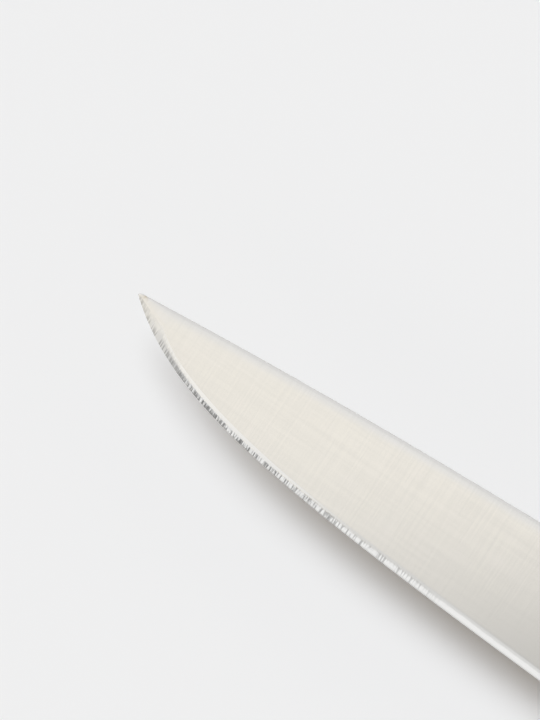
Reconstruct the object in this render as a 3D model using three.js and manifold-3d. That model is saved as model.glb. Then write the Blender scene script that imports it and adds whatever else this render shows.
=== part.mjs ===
// A small riveted kitchen knife: a taper-ground steel blade with a full tang, two wooden
// scales and three rivets that each press together from a post and a sleeve.
// It lies on its right side with the tip towards -X, the edge towards -Y and the left face up.
// Lengths are in millimetres and angles in degrees.

import * as THREE from "three";
import { mergeVertices } from "three/addons/utils/BufferGeometryUtils.js";
import Module from "manifold-3d";

// Blade outline, from the heel line at x = 0 and the straight spine at y = 0.
const BLADE_LENGTH = 110.5; // heel to tip
const HEEL_HEIGHT = 20; // spine to edge at the heel
const SPINE_DROP = 3.9; // how far the spine falls on its way to the tip
const SPINE_RUN = 64; // pull of the straight stretch of the spine
const TIP_HEIGHT = 0.5; // the blunt nose between spine and edge
const HEEL_EDGE_ANGLE = 3; // between edge and spine at the heel
const TIP_EDGE_ANGLE = 40.5; // between edge and spine at the tip
const EDGE_RUN = 76; // pull of the long, nearly straight stretch of the edge
const BELLY_RUN = 17.3; // pull of the round belly behind the tip
const HEEL_STEP = 4.6; // how far the heel hangs below the handle's front
const HEEL_LEAN = 2.6; // how far the back of the heel leans towards the handle
const CHOIL_RADIUS = 3.4; // hollow between the heel and the tang
const RICASSO_LENGTH = 3; // bare steel between that hollow and the scales

// Blade section.
const STOCK_THICKNESS = 1.6; // the steel sheet, and so the tang
const GRIND_SKIN = 0.05; // ground off each face at the heel's spine
const TIP_THICKNESS = 0.5; // across the spine just behind the tip
const FACE_TILT = 2; // steepest that a face leans where it runs out at the tip
const FACE_CROWN = 0.04; // swell of each face between spine and edge
const SPINE_ROLL_WIDTH = 1.3; // band along the spine where each face rolls off
const SPINE_ROLL_DEPTH = 0.1;
const SHOULDER_WIDTH = 0.5; // polished facet above the edge bevel
const SHOULDER_ANGLE = 6;
const BEVEL_WIDTH = 0.6; // sharpened facet at the edge
const BEVEL_ANGLE = 14;
const EDGE_LAND = 0.06; // thickness that is left at the very edge
const RUNOUT_LENGTH = 5; // over which the grind climbs out of the steel behind the heel
const RUNOUT_GAP = 1; // between that climb and the scales

// Handle outline, from the front of the scales and the spine line.
const HANDLE_LENGTH = 103; // front of the scales to the butt, along the spine line
const FRONT_SLANT = 3; // the scales' front edge leans back towards the edge side
const BELLY_DEPTH = 18.9;
const BELLY_FROM_FRONT = 36;
const WAIST_DEPTH = 17.2;
const WAIST_FROM_BUTT = 33;
const HOOK_DEPTH = 20.6;
const HOOK_FROM_BUTT = 9.5;
const ARCH_RISE = 0.9;
const ARCH_FROM_FRONT = 40;
const BUTT_TOP_DROP = 1.8;
const BUTT_TOP_FROM_BUTT = 9;
const BUTT_MIDDLE_DEPTH = 10.4;

// Scales.
const SCALE_THICKNESS = 6.2;
const SIDE_WALL = 1.8; // upright wall next to the tang, below the round-over
const ROUND_WIDTH = 4.4; // round-over, seen from the side of the knife
const FRONT_ROUND = 2.4; // rounding of the front end

// Rivets, on the middle line of the handle.
const RIVET_NAMES = ["front_rivet", "middle_rivet", "rear_rivet"];
const FIRST_RIVET_FROM_FRONT = 15;
const LAST_RIVET_FROM_BUTT = 18;
const POST_DIAMETER = 2.8;
const SLEEVE_WALL = 0.75;
const HEAD_LIP = 0.8; // how far a head reaches past the sleeve
const HEAD_THICKNESS = 1.7;
const RIVET_FIT = 0.05; // radial clearance of every rivet surface
const SLEEVE_END_GAP = 0.6; // sleeve's mouth to the post's head
const POST_END_GAP = 0.8; // post's end to the bottom of the sleeve's bore
const SLEEVE_CAP = 0.6; // metal between the sleeve's bore and its head

// Facets.
const BLADE_STATIONS = 44;
const RUNOUT_STATIONS = 12;
const CURVE_SEGMENTS = 14;
const ROUND_RINGS = 6;
const RIVET_SEGMENTS = 32;

const CUT_MARGIN = 3; // how far the shapes that only cut reach past what they cut
const BAND_SHARE = 0.8; // most of a section's height that the bands along spine and edge fill

const FRONT_X = HEEL_LEAN + CHOIL_RADIUS + RICASSO_LENGTH;
const FRONT_DEPTH = HEEL_HEIGHT - HEEL_STEP;
const BUTT_X = FRONT_X + HANDLE_LENGTH;
const TANG_FACE = STOCK_THICKNESS / 2;
const SCALE_FACE = TANG_FACE + SCALE_THICKNESS;
const SLEEVE_RADIUS = POST_DIAMETER / 2 + RIVET_FIT + SLEEVE_WALL;
const HEAD_RADIUS = SLEEVE_RADIUS + HEAD_LIP;
const HEAD_SEAT = SCALE_FACE - HEAD_THICKNESS;
const radians = THREE.MathUtils.degToRad;

const wasm = await Module();
wasm.setup();

// A closed geometry as a solid for joining and cutting.
function toSolid(geometry) {
  const bare = geometry.clone();
  bare.deleteAttribute("normal");
  bare.deleteAttribute("uv");
  const merged = mergeVertices(bare, 1e-4);
  const corners = merged.index.array;
  const triVerts = [];
  for (let i = 0; i < corners.length; i += 3) {
    const [a, b, c] = [corners[i], corners[i + 1], corners[i + 2]];
    if (a !== b && b !== c && c !== a) triVerts.push(a, b, c);
  }
  return new wasm.Manifold(
    new wasm.Mesh({
      numProp: 3,
      vertProperties: merged.attributes.position.array,
      triVerts: new Uint32Array(triVerts),
    }),
  );
}

// A solid as a geometry.
function toGeometry(solid) {
  const mesh = solid.getMesh();
  const geometry = new THREE.BufferGeometry();
  geometry.setAttribute("position", new THREE.BufferAttribute(mesh.vertProperties, 3));
  geometry.setIndex(new THREE.BufferAttribute(mesh.triVerts, 1));
  geometry.computeVertexNormals();
  return geometry;
}

// The same geometry on the other side of the knife's middle plane.
function otherSide(geometry) {
  const mirrored = geometry.clone().scale(1, 1, -1);
  const corners = mirrored.index.array;
  for (let i = 0; i < corners.length; i += 3) {
    [corners[i], corners[i + 1]] = [corners[i + 1], corners[i]];
  }
  mirrored.computeVertexNormals();
  return mirrored;
}

// Joins rings of equally many points into one closed skin, with a flat cap on the first and
// last ring. capPlane turns a ring's point into the two coordinates its cap is drawn in.
function loft(rings, capPlane) {
  const count = rings[0].length;
  const index = [];
  for (let r = 0; r + 1 < rings.length; r += 1) {
    for (let p = 0; p < count; p += 1) {
      const a = r * count + p;
      const b = r * count + ((p + 1) % count);
      index.push(a, b, b + count, a, b + count, a + count);
    }
  }
  const addCap = (r, flipped) => {
    const flat = rings[r].map(capPlane);
    for (const [a, b, c] of THREE.ShapeUtils.triangulateShape(flat, [])) {
      const [i, j, k] = [a, b, c].map((corner) => corner + r * count);
      index.push(...(flipped ? [i, k, j] : [i, j, k]));
    }
  };
  addCap(0, true);
  addCap(rings.length - 1, false);
  const geometry = new THREE.BufferGeometry();
  geometry.setFromPoints(rings.flat());
  geometry.setIndex(index);
  return geometry;
}

// Outlines

// Adds an S-curve that leaves and arrives level.
function glideTo(path, x, y) {
  const from = path.currentPoint;
  const half = (from.x + x) / 2;
  path.bezierCurveTo(half, from.y, half, y, x, y);
}

// The handle's outline from the underside of its front, round the butt, to the top of its front.
function traceHandle(path) {
  const hookX = BUTT_X - HOOK_FROM_BUTT;
  const buttTopX = BUTT_X - BUTT_TOP_FROM_BUTT;
  path.lineTo(FRONT_X + FRONT_SLANT, -FRONT_DEPTH);
  glideTo(path, FRONT_X + BELLY_FROM_FRONT, -BELLY_DEPTH);
  glideTo(path, BUTT_X - WAIST_FROM_BUTT, -WAIST_DEPTH);
  glideTo(path, hookX, -HOOK_DEPTH);
  path.absellipse(
    hookX, -BUTT_MIDDLE_DEPTH, HOOK_FROM_BUTT, HOOK_DEPTH - BUTT_MIDDLE_DEPTH,
    -Math.PI / 2, 0, false,
  );
  path.absellipse(
    buttTopX, -BUTT_MIDDLE_DEPTH, BUTT_TOP_FROM_BUTT, BUTT_MIDDLE_DEPTH - BUTT_TOP_DROP,
    0, Math.PI / 2, false,
  );
  glideTo(path, FRONT_X + ARCH_FROM_FRONT, ARCH_RISE);
  glideTo(path, FRONT_X, 0);
}

// A scale seen from the side before its front is cut: it runs on towards the blade until the
// round-overs of its own front end are clear of the cut.
function uncutScaleOutline() {
  const uncutX = FRONT_X - 2 * ROUND_WIDTH - CUT_MARGIN;
  const shape = new THREE.Shape();
  shape.moveTo(uncutX, -FRONT_DEPTH);
  traceHandle(shape);
  shape.lineTo(uncutX, 0);
  return shape.getPoints(CURVE_SEGMENTS);
}

// The stamped blank seen from the side: finished along the spine, the nose, the heel and the
// tang, and left full below the edge, where the grind shapes it.
function blankOutline(spots) {
  const below = -HEEL_HEIGHT - CUT_MARGIN;
  const leanPerDepth = HEEL_LEAN / HEEL_STEP;
  const choilCorner = new THREE.Vector2(HEEL_LEAN, -FRONT_DEPTH);
  const downHeel = new THREE.Vector2(-leanPerDepth, -1).setLength(CHOIL_RADIUS);
  const choilSide = choilCorner.clone().add(downHeel);
  const shape = new THREE.Shape();
  shape.moveTo(0, 0);
  shape.quadraticCurveTo(-SPINE_RUN, 0, TIP_HEIGHT - BLADE_LENGTH, -SPINE_DROP);
  shape.quadraticCurveTo(-BLADE_LENGTH, -SPINE_DROP, -BLADE_LENGTH, -SPINE_DROP - TIP_HEIGHT);
  shape.lineTo(-BLADE_LENGTH, below);
  shape.lineTo(-CUT_MARGIN * leanPerDepth, below);
  shape.lineTo(choilSide.x, choilSide.y);
  shape.quadraticCurveTo(choilCorner.x, choilCorner.y, HEEL_LEAN + CHOIL_RADIUS, -FRONT_DEPTH);
  traceHandle(shape);
  shape.closePath();
  for (const spot of spots) {
    const hole = new THREE.Path();
    hole.absarc(spot.x, spot.y, SLEEVE_RADIUS + RIVET_FIT, 0, 2 * Math.PI, true);
    shape.holes.push(hole);
  }
  return shape;
}

// Rivet centres: evenly spaced along the handle, halfway between its top and its underside.
function rivetSpots() {
  const outline = uncutScaleOutline();
  const firstX = FRONT_X + FIRST_RIVET_FROM_FRONT;
  const lastX = BUTT_X - LAST_RIVET_FROM_BUTT;
  const middleAt = (x) => {
    const crossings = [];
    outline.forEach((a, i) => {
      const b = outline[(i + 1) % outline.length];
      if (a.x > x === b.x > x) return;
      crossings.push(THREE.MathUtils.mapLinear(x, a.x, b.x, a.y, b.y));
    });
    return (Math.max(...crossings) + Math.min(...crossings)) / 2;
  };
  return RIVET_NAMES.map((_, i) => {
    const x = THREE.MathUtils.lerp(firstX, lastX, i / (RIVET_NAMES.length - 1));
    return new THREE.Vector2(x, middleAt(x));
  });
}

// Blade

// The edge line from the heel to the tip.
function edgeCurve() {
  const heel = new THREE.Vector2(0, -HEEL_HEIGHT);
  const tip = new THREE.Vector2(-BLADE_LENGTH, -SPINE_DROP - TIP_HEIGHT);
  const along = (angle, length) =>
    new THREE.Vector2(-Math.cos(radians(angle)), Math.sin(radians(angle))).multiplyScalar(length);
  return new THREE.CubicBezierCurve(
    heel,
    heel.clone().add(along(HEEL_EDGE_ANGLE, EDGE_RUN)),
    tip.clone().sub(along(TIP_EDGE_ANGLE, BELLY_RUN)),
    tip,
  );
}

// The spine's height at x, on the same curve as the blank's outline.
function spineAt(x) {
  const bend = 2 * SPINE_RUN + TIP_HEIGHT - BLADE_LENGTH;
  const share = -x / (SPINE_RUN + Math.sqrt(SPINE_RUN ** 2 + bend * x));
  return -SPINE_DROP * THREE.MathUtils.clamp(share, 0, 1) ** 2;
}

// How far the grind has climbed out of the steel at x: 0 in the blade, 1 near the scales.
function climbAt(x) {
  const share = (x - FRONT_X + RUNOUT_GAP + RUNOUT_LENGTH) / RUNOUT_LENGTH;
  return THREE.MathUtils.clamp(share, 0, 1) ** 2;
}

// One section across the ground blade at x, as a ring: down the left face from above the spine
// to the edge, and up the right face.
function groundSection(x, edgeY, edgeSlope) {
  const share = THREE.MathUtils.clamp(-x / BLADE_LENGTH, 0, 1);
  const spineY = spineAt(x);
  const upright = Math.cos(Math.atan(edgeSlope));
  const bevelHeight = (BEVEL_WIDTH * Math.cos(radians(BEVEL_ANGLE))) / upright;
  const shoulderHeight = (SHOULDER_WIDTH * Math.cos(radians(SHOULDER_ANGLE))) / upright;
  const bands = bevelHeight + shoulderHeight + SPINE_ROLL_WIDTH;
  const squeeze = Math.min(1, (BAND_SHARE * (spineY - edgeY)) / bands);
  const bevelTop = EDGE_LAND / 2 + squeeze * BEVEL_WIDTH * Math.sin(radians(BEVEL_ANGLE));
  const shoulderTop = bevelTop + squeeze * SHOULDER_WIDTH * Math.sin(radians(SHOULDER_ANGLE));
  const shoulderY = edgeY + squeeze * (bevelHeight + shoulderHeight);
  const rollY = spineY - squeeze * SPINE_ROLL_WIDTH;
  const rollRun = squeeze * SPINE_ROLL_WIDTH + CUT_MARGIN;
  const rollFall = (SPINE_ROLL_DEPTH / SPINE_ROLL_WIDTH) * rollRun;
  const taper = THREE.MathUtils.lerp(TANG_FACE - GRIND_SKIN, TIP_THICKNESS / 2, share);
  const steepest = shoulderTop + (rollY - shoulderY) * Math.tan(radians(FACE_TILT));
  const spineHalf = Math.min(taper, steepest);
  const side = [
    [rollY + rollRun, Math.max(spineHalf - rollFall, EDGE_LAND)],
    [rollY, spineHalf],
    [(rollY + shoulderY) / 2, (spineHalf + shoulderTop) / 2 + FACE_CROWN * squeeze],
    [shoulderY, shoulderTop],
    [edgeY + squeeze * bevelHeight, bevelTop],
    [edgeY, EDGE_LAND / 2],
  ].map(([y, half]) => [y, THREE.MathUtils.lerp(half, STOCK_THICKNESS, climbAt(x))]);
  const left = side.map(([y, half]) => new THREE.Vector3(x, y, half));
  const right = side.map(([y, half]) => new THREE.Vector3(x, y, -half)).reverse();
  return [...left, ...right];
}

// Everything that the grinding wheels leave: the whole blade, and past the heel a body that
// swells until it clears the tang on all sides.
function groundBody() {
  const edge = edgeCurve();
  const rings = [];
  const tipSlope = -Math.tan(radians(TIP_EDGE_ANGLE));
  const tip = edge.getPoint(1);
  rings.push(groundSection(tip.x - CUT_MARGIN, tip.y, tipSlope));
  for (let i = 0; i <= BLADE_STATIONS; i += 1) {
    const t = 1 - i / BLADE_STATIONS;
    const point = edge.getPoint(t);
    const tangent = edge.getTangent(t);
    rings.push(groundSection(point.x, point.y, tangent.y / tangent.x));
  }
  const heelSlope = -Math.tan(radians(HEEL_EDGE_ANGLE));
  for (let i = 1; i <= RUNOUT_STATIONS; i += 1) {
    const x = ((FRONT_X - RUNOUT_GAP) * i) / RUNOUT_STATIONS;
    rings.push(groundSection(x, heelSlope * x - HEEL_HEIGHT, heelSlope));
  }
  const deepest = -Math.max(HEEL_HEIGHT, HOOK_DEPTH, BELLY_DEPTH, WAIST_DEPTH) - CUT_MARGIN;
  rings.push(groundSection(FRONT_X, deepest, heelSlope));
  rings.push(groundSection(BUTT_X + CUT_MARGIN, deepest, heelSlope));
  return loft(rings, (point) => new THREE.Vector2(point.y, point.z));
}

function bladeWithTang(spots) {
  const blank = new THREE.ExtrudeGeometry(blankOutline(spots), {
    depth: STOCK_THICKNESS,
    curveSegments: CURVE_SEGMENTS,
    bevelEnabled: false,
  });
  blank.translate(0, 0, -TANG_FACE);
  return toGeometry(toSolid(blank).intersect(toSolid(groundBody())));
}

// Scales

// A closed outline moved inwards by a distance, with each corner kept a corner.
function insetOutline(points, distance) {
  const normalOf = (a, b) => new THREE.Vector2(a.y - b.y, b.x - a.x).normalize();
  return points.map((point, i) => {
    const before = points[(i + points.length - 1) % points.length];
    const after = points[(i + 1) % points.length];
    const n = normalOf(before, point);
    const m = normalOf(point, after);
    const reach = distance / (1 + n.dot(m));
    return point.clone().add(n.add(m).multiplyScalar(reach));
  });
}

// The scale's outer form with its round-overs, before the front is cut.
function uncutScale() {
  const outline = uncutScaleOutline();
  const ringAt = (inset, height) =>
    insetOutline(outline, inset).map(
      (point) => new THREE.Vector3(point.x, point.y, TANG_FACE + height),
    );
  const rings = [ringAt(0, 0)];
  for (let i = 0; i <= ROUND_RINGS; i += 1) {
    const turn = ((i / ROUND_RINGS) * Math.PI) / 2;
    const height = THREE.MathUtils.lerp(SIDE_WALL, SCALE_THICKNESS, Math.sin(turn));
    rings.push(ringAt(ROUND_WIDTH * (1 - Math.cos(turn)), height));
  }
  return loft(rings, (point) => new THREE.Vector2(point.x, point.y));
}

// Everything behind the scale's front: a slab as long as the handle, with a round upper front
// corner, leaning back towards the edge side.
function behindFront() {
  const top = SCALE_FACE + CUT_MARGIN;
  const back = BUTT_X + CUT_MARGIN;
  const profile = new THREE.Shape();
  profile.moveTo(FRONT_X, TANG_FACE - CUT_MARGIN);
  profile.lineTo(back, TANG_FACE - CUT_MARGIN);
  profile.lineTo(back, top);
  profile.lineTo(FRONT_X + FRONT_ROUND, top);
  profile.lineTo(FRONT_X + FRONT_ROUND, SCALE_FACE);
  profile.absarc(
    FRONT_X + FRONT_ROUND, SCALE_FACE - FRONT_ROUND, FRONT_ROUND,
    Math.PI / 2, Math.PI, false,
  );
  const topY = ARCH_RISE + CUT_MARGIN;
  const slab = new THREE.ExtrudeGeometry(profile, {
    depth: topY + HOOK_DEPTH + BELLY_DEPTH,
    curveSegments: ROUND_RINGS,
    bevelEnabled: false,
  });
  slab.rotateX(Math.PI / 2);
  slab.translate(0, topY, 0);
  slab.applyMatrix4(new THREE.Matrix4().makeShear(0, 0, -FRONT_SLANT / FRONT_DEPTH, 0, 0, 0));
  return slab;
}

// The left scale. Its flat inner face lies on the tang, and its outer face is flat between the
// round-overs.
function leftScale(spots) {
  let solid = toSolid(uncutScale()).intersect(toSolid(behindFront()));
  for (const spot of spots) {
    solid = solid.subtract(toSolid(rivetSeat().translate(spot.x, spot.y, 0)));
  }
  return toGeometry(solid);
}

// Rivets

// A turned shape about the Z axis, from points of radius and height.
function turned(profile) {
  const points = profile.map(([radius, height]) => new THREE.Vector2(radius, height));
  return new THREE.LatheGeometry(points, RIVET_SEGMENTS).rotateX(Math.PI / 2);
}

// The stepped hole that a rivet fills in the left scale.
function rivetSeat() {
  const bore = SLEEVE_RADIUS + RIVET_FIT;
  const counterbore = HEAD_RADIUS + RIVET_FIT;
  return turned([
    [0, TANG_FACE - CUT_MARGIN],
    [bore, TANG_FACE - CUT_MARGIN],
    [bore, HEAD_SEAT],
    [counterbore, HEAD_SEAT],
    [counterbore, SCALE_FACE + CUT_MARGIN],
    [0, SCALE_FACE + CUT_MARGIN],
  ]);
}

// The half with the hollow shank. Its head is flush with the left scale.
function rivetSleeve() {
  const bore = POST_DIAMETER / 2 + RIVET_FIT;
  const mouth = SLEEVE_END_GAP - HEAD_SEAT;
  return turned([
    [0, HEAD_SEAT - SLEEVE_CAP],
    [bore, HEAD_SEAT - SLEEVE_CAP],
    [bore, mouth],
    [SLEEVE_RADIUS, mouth],
    [SLEEVE_RADIUS, HEAD_SEAT],
    [HEAD_RADIUS, HEAD_SEAT],
    [HEAD_RADIUS, SCALE_FACE],
    [0, SCALE_FACE],
  ]);
}

// The half with the solid shank. Its head is flush with the right scale.
function rivetPost() {
  const end = HEAD_SEAT - SLEEVE_CAP - POST_END_GAP;
  return turned([
    [0, -SCALE_FACE],
    [HEAD_RADIUS, -SCALE_FACE],
    [HEAD_RADIUS, -HEAD_SEAT],
    [POST_DIAMETER / 2, -HEAD_SEAT],
    [POST_DIAMETER / 2, end],
    [0, end],
  ]);
}

// Assembly

const steel = new THREE.MeshStandardMaterial({ color: 0xd9d6cd, metalness: 1, roughness: 0.34 });
const boxwood = new THREE.MeshStandardMaterial({ color: 0xc79a5b, metalness: 0, roughness: 0.55 });
const brass = new THREE.MeshStandardMaterial({ color: 0xc9a35a, metalness: 1, roughness: 0.3 });

function piece(name, geometry, material) {
  const mesh = new THREE.Mesh(geometry, material);
  mesh.name = name;
  return mesh;
}

const spots = rivetSpots();
const scale = leftScale(spots);
const assembly = new THREE.Group();
assembly.add(
  piece("blade_with_tang", bladeWithTang(spots), steel),
  piece("left_scale", scale, boxwood),
  piece("right_scale", otherSide(scale), boxwood),
);
spots.forEach((spot, i) => {
  const rivet = new THREE.Group();
  rivet.position.set(spot.x, spot.y, 0);
  rivet.add(
    piece(RIVET_NAMES[i] + "_sleeve", rivetSleeve(), brass),
    piece(RIVET_NAMES[i] + "_post", rivetPost(), brass),
  );
  assembly.add(rivet);
});

// The knife lies on its right scale, centred over the origin.
const knife = new THREE.Group();
knife.add(assembly);
const middle = new THREE.Box3().setFromObject(assembly).getCenter(new THREE.Vector3());
assembly.position.set(-middle.x, -middle.y, SCALE_FACE);

export default knife;
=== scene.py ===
import math

import bpy
import numpy as np
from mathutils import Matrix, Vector


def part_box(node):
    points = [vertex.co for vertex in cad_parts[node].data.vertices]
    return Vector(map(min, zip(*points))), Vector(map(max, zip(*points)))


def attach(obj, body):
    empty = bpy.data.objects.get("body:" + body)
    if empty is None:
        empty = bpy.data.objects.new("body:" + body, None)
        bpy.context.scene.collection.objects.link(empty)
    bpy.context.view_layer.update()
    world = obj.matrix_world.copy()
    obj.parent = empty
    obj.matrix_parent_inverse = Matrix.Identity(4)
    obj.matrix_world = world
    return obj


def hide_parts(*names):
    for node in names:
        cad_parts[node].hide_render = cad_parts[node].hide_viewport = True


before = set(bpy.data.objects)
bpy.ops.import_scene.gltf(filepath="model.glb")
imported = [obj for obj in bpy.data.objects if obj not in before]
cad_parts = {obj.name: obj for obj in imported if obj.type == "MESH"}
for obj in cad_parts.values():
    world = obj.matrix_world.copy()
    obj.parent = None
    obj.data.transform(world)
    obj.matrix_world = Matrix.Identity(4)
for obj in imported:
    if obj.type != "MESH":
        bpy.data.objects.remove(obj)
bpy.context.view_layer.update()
bladeLow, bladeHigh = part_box("blade_with_tang")
mm = 0.001
white, black = (1, 1, 1, 1), (0, 0, 0, 1)
print("frame loaded,", len(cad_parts), "nodes")


# small helpers


def deselectAll():
    if bpy.context.object and bpy.context.object.mode != "OBJECT":
        bpy.ops.object.mode_set(mode="OBJECT")
    bpy.ops.object.select_all(action="DESELECT")


def pick(obj):
    deselectAll()
    obj.select_set(True)
    bpy.context.view_layer.objects.active = obj


def editMesh(obj, parts="VERT"):
    pick(obj)
    bpy.ops.object.mode_set(mode="EDIT")
    bpy.ops.mesh.select_mode(type=parts)


def selectWhere(obj, parts, test):
    # parts is EDGE or FACE; leaves the object in edit mode with only those selected
    editMesh(obj, parts)
    bpy.ops.mesh.select_all(action="DESELECT")
    bpy.ops.object.mode_set(mode="OBJECT")
    for part in obj.data.edges if parts == "EDGE" else obj.data.polygons:
        part.select = test(part)
    bpy.ops.object.mode_set(mode="EDIT")


def tidyMesh(obj, gap):
    editMesh(obj)
    bpy.ops.mesh.select_all(action="SELECT")
    bpy.ops.mesh.remove_doubles(threshold=gap)
    bpy.ops.mesh.normals_make_consistent(inside=False)
    bpy.ops.object.mode_set(mode="OBJECT")


def useModifier(obj, kind, **settings):
    pick(obj)
    modifier = obj.modifiers.new(kind.title(), kind)
    for name, value in settings.items():
        setattr(modifier, name, value)
    bpy.ops.object.modifier_apply(modifier=modifier.name)


def cut(obj, tool, operation="DIFFERENCE"):
    useModifier(obj, "BOOLEAN", object=tool, operation=operation, solver="EXACT")
    bpy.data.objects.remove(tool)


def placePoints(obj, points):
    # moves every vertex; points are in millimetres
    obj.data.vertices.foreach_set("co", (np.asarray(points, float) * mm).ravel())
    obj.data.update()


def finishPiece(obj, name, node, materials, smoothAngle=35):
    # from the knife's own origin to its place in the frame
    obj.name = obj.data.name = name
    pick(obj)
    bpy.ops.transform.translate(value=knifeOrigin)
    bpy.ops.object.transform_apply(location=True, rotation=True, scale=True)
    bpy.ops.object.shade_smooth_by_angle(angle=math.radians(smoothAngle))
    for material in materials:
        if material.name not in obj.data.materials:
            obj.data.materials.append(material)
    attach(obj, "root")
    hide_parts(node)


def addNode(tree, kind, inputs=None, **settings):
    node = tree.nodes.new("ShaderNode" + kind)
    for name, value in settings.items():
        setattr(node, name, value)
    for socket, value in (inputs or {}).items():
        if isinstance(value, bpy.types.NodeSocket):
            tree.links.new(value, node.inputs[socket])
        else:
            node.inputs[socket].default_value = value
    return node


def mathNode(tree, operation, first, second=0.0, **settings):
    node = addNode(tree, "Math", {0: first, 1: second}, operation=operation, **settings)
    return node.outputs[0]


def remap(tree, value, low, high, toLow, toHigh, smooth=False):
    node = addNode(
        tree, "MapRange",
        {"Value": value, "From Min": low, "From Max": high, "To Min": toLow, "To Max": toHigh},
        interpolation_type="SMOOTHSTEP" if smooth else "LINEAR",
    )
    return node.outputs["Result"]


def blendColour(tree, share, first, second):
    node = addNode(tree, "Mix", {0: share, 6: first, 7: second}, data_type="RGBA")
    return node.outputs[2]


def streaks(tree, coords, stretch, detail=3.0, roughness=0.6, offset=(0, 0, 0)):
    # noise drawn out along the axes with the smaller numbers; stretch is per metre
    mapped = addNode(tree, "Mapping", {"Vector": coords, "Scale": stretch, "Location": offset})
    noise = addNode(
        tree, "TexNoise",
        {"Vector": mapped.outputs[0], "Scale": 1.0, "Detail": detail, "Roughness": roughness},
    )
    return noise.outputs["Fac"]


def newMaterial(name, **uniform):
    material = bpy.data.materials.new(name)
    material.use_nodes = True
    tree = material.node_tree
    shader = tree.nodes["Principled BSDF"]
    for socket, value in uniform.items():
        shader.inputs[socket.replace("_", " ")].default_value = value
    return material, tree, shader


def dress(tree, shader, colour, roughness, relief, bump):
    # bump is a strength, and a depth in millimetres
    strength, depth = bump
    tree.links.new(colour, shader.inputs["Base Color"])
    tree.links.new(roughness, shader.inputs["Roughness"])
    bumped = addNode(tree, "Bump", {"Strength": strength, "Distance": depth * mm, "Height": relief})
    tree.links.new(bumped.outputs[0], shader.inputs["Normal"])


# camera: straight down on the blade, turned so that the tip is at the upper left

photoView = {
    "turn": 33.1,  # knife axis below the picture's horizontal, degrees
    "tipRight": -130.0, "tipUp": 68.25,  # tip from the picture's middle, pixels
    "pixelsPerMetre": 7740,  # at the blade
    "pictureHeight": 720,
    "lens": 100, "sensor": 36,
    "nearest": 0.01,  # where the view starts, metres from the camera
}

turn = math.radians(photoView["turn"])
pictureRight = Vector((math.cos(turn), math.sin(turn), 0))
pictureUp = Vector((-math.sin(turn), math.cos(turn), 0))


def makeCamera(view, tip):
    deselectAll()
    shown = view["pictureHeight"] / view["pixelsPerMetre"]
    height = shown * view["lens"] / view["sensor"]
    fromMiddle = pictureRight * view["tipRight"] + pictureUp * view["tipUp"]
    aim = tip - fromMiddle / view["pixelsPerMetre"]
    bpy.ops.object.camera_add(location=aim + Vector((0, 0, height)), rotation=(0, 0, turn))
    camera = bpy.context.object
    camera.name = "photoCamera"
    camera.data.lens = view["lens"]
    camera.data.sensor_width = view["sensor"]
    camera.data.clip_start = view["nearest"]
    bpy.context.scene.camera = camera


# studio: pale floor, two soft lamps from the top and upper left of the picture, a plain surround

studio = {
    "floorSize": 8.0,
    "floorColour": (0.863, 0.863, 0.863, 1),
    # the floor's glow is painted light: it keeps the shadow light, and warm, being warmer than the
    # floor's lit colour
    "floorLit": (0.656, 0.682, 0.710, 1), "floorGlow": (0.207, 0.181, 0.154, 1),
    # degrees: tilt from overhead, turn to the left of the picture's top, spread of the soft disc
    "lamps": (
        {"name": "mainLamp", "tilt": 55.5, "turn": 42.7, "spread": 31.5, "level": 3.36},
        {"name": "fillLamp", "tilt": 42.5, "turn": 7.7, "spread": 29, "level": 1.32},
    ),
    "lampColour": (0.99, 1.0, 1.015),
    "wallLevel": 0.60, "wallColour": (1.09, 1.0, 0.86, 1),
    "wallFade": (0.34, 0.44), "mirrorFrom": (0.0, 0.25),  # as sines of the elevation
    # mirrored only; the limits are parts of a direction: up the picture, to its right, over the spine
    "roomLevel": 0.27, "lowLevel": 0.55, "leftLevel": 0.25, "leftFade": (-0.45, -0.30),
    "boxLevel": 0.772,  # overhead box that the faces mirror
    "boxLow": (-0.286, -0.10), "boxHigh": (0.40, 0.80), "boxFar": 0.5, "boxSide": (0.55, 0.70),
    "boxRises": (-0.18, -0.02), "boxRise": (0.948, 1.015),  # from left to right
    "boxWarm": (1.038, 0.988, 0.888, 1), "boxCool": (0.905, 0.902, 0.900, 1),
    "coolFrom": (0.02, 0.20),  # across the spine, where the box turns cooler
    "coolBelow": (-0.29, -0.05), "coolLow": 0.85,  # and at its lower end
    "dimFrom": (0.20, 0.30), "dim": 0.86,  # and darker still at the spine's corner
    "cardLevel": 0.82,  # card at the lower left that the edge mirrors
    "cardTop": (-0.36, -0.10), "cardFoot": (-0.75, -0.60),
    "cardLeft": (-0.42, -0.35), "cardRight": (-0.28, -0.14),  # the right side slants
    "backdropLevel": 0.86,  # seen by the camera only
}


def makeFloor(plan):
    deselectAll()
    bpy.ops.mesh.primitive_plane_add(size=plan["floorSize"], location=(0, 0, 0))
    floor = bpy.context.object
    floor.name = "floor"
    paper, tree, shader = newMaterial("paper", Roughness=0.9, Specular_IOR_Level=0.0)
    # seen or mirrored, a part of the floor's brightness is its own, so that the shadow stays light;
    # light thrown back to it by the blade's underside is left out, so that it stays even
    rays = addNode(tree, "LightPath").outputs
    again = mathNode(tree, "GREATER_THAN", rays["Diffuse Depth"], 0.5)
    mirrored = mathNode(tree, "SUBTRACT", rays["Is Glossy Ray"], again, use_clamp=True)
    seen = mathNode(tree, "MAXIMUM", rays["Is Camera Ray"], mirrored)
    colour = blendColour(tree, seen, plan["floorColour"], plan["floorLit"])
    thrownBack = mathNode(tree, "MULTIPLY", again, rays["Is Glossy Ray"])
    colour = blendColour(tree, thrownBack, colour, black)
    tree.links.new(colour, shader.inputs["Base Color"])
    # painted light: the floor glows, warmer than its lit colour, so that its shadow stays light and
    # warm
    shader.inputs["Emission Color"].default_value = plan["floorGlow"]
    tree.links.new(seen, shader.inputs["Emission Strength"])
    paper.cycles.emission_sampling = "NONE"
    floor.data.materials.append(paper)


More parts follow.
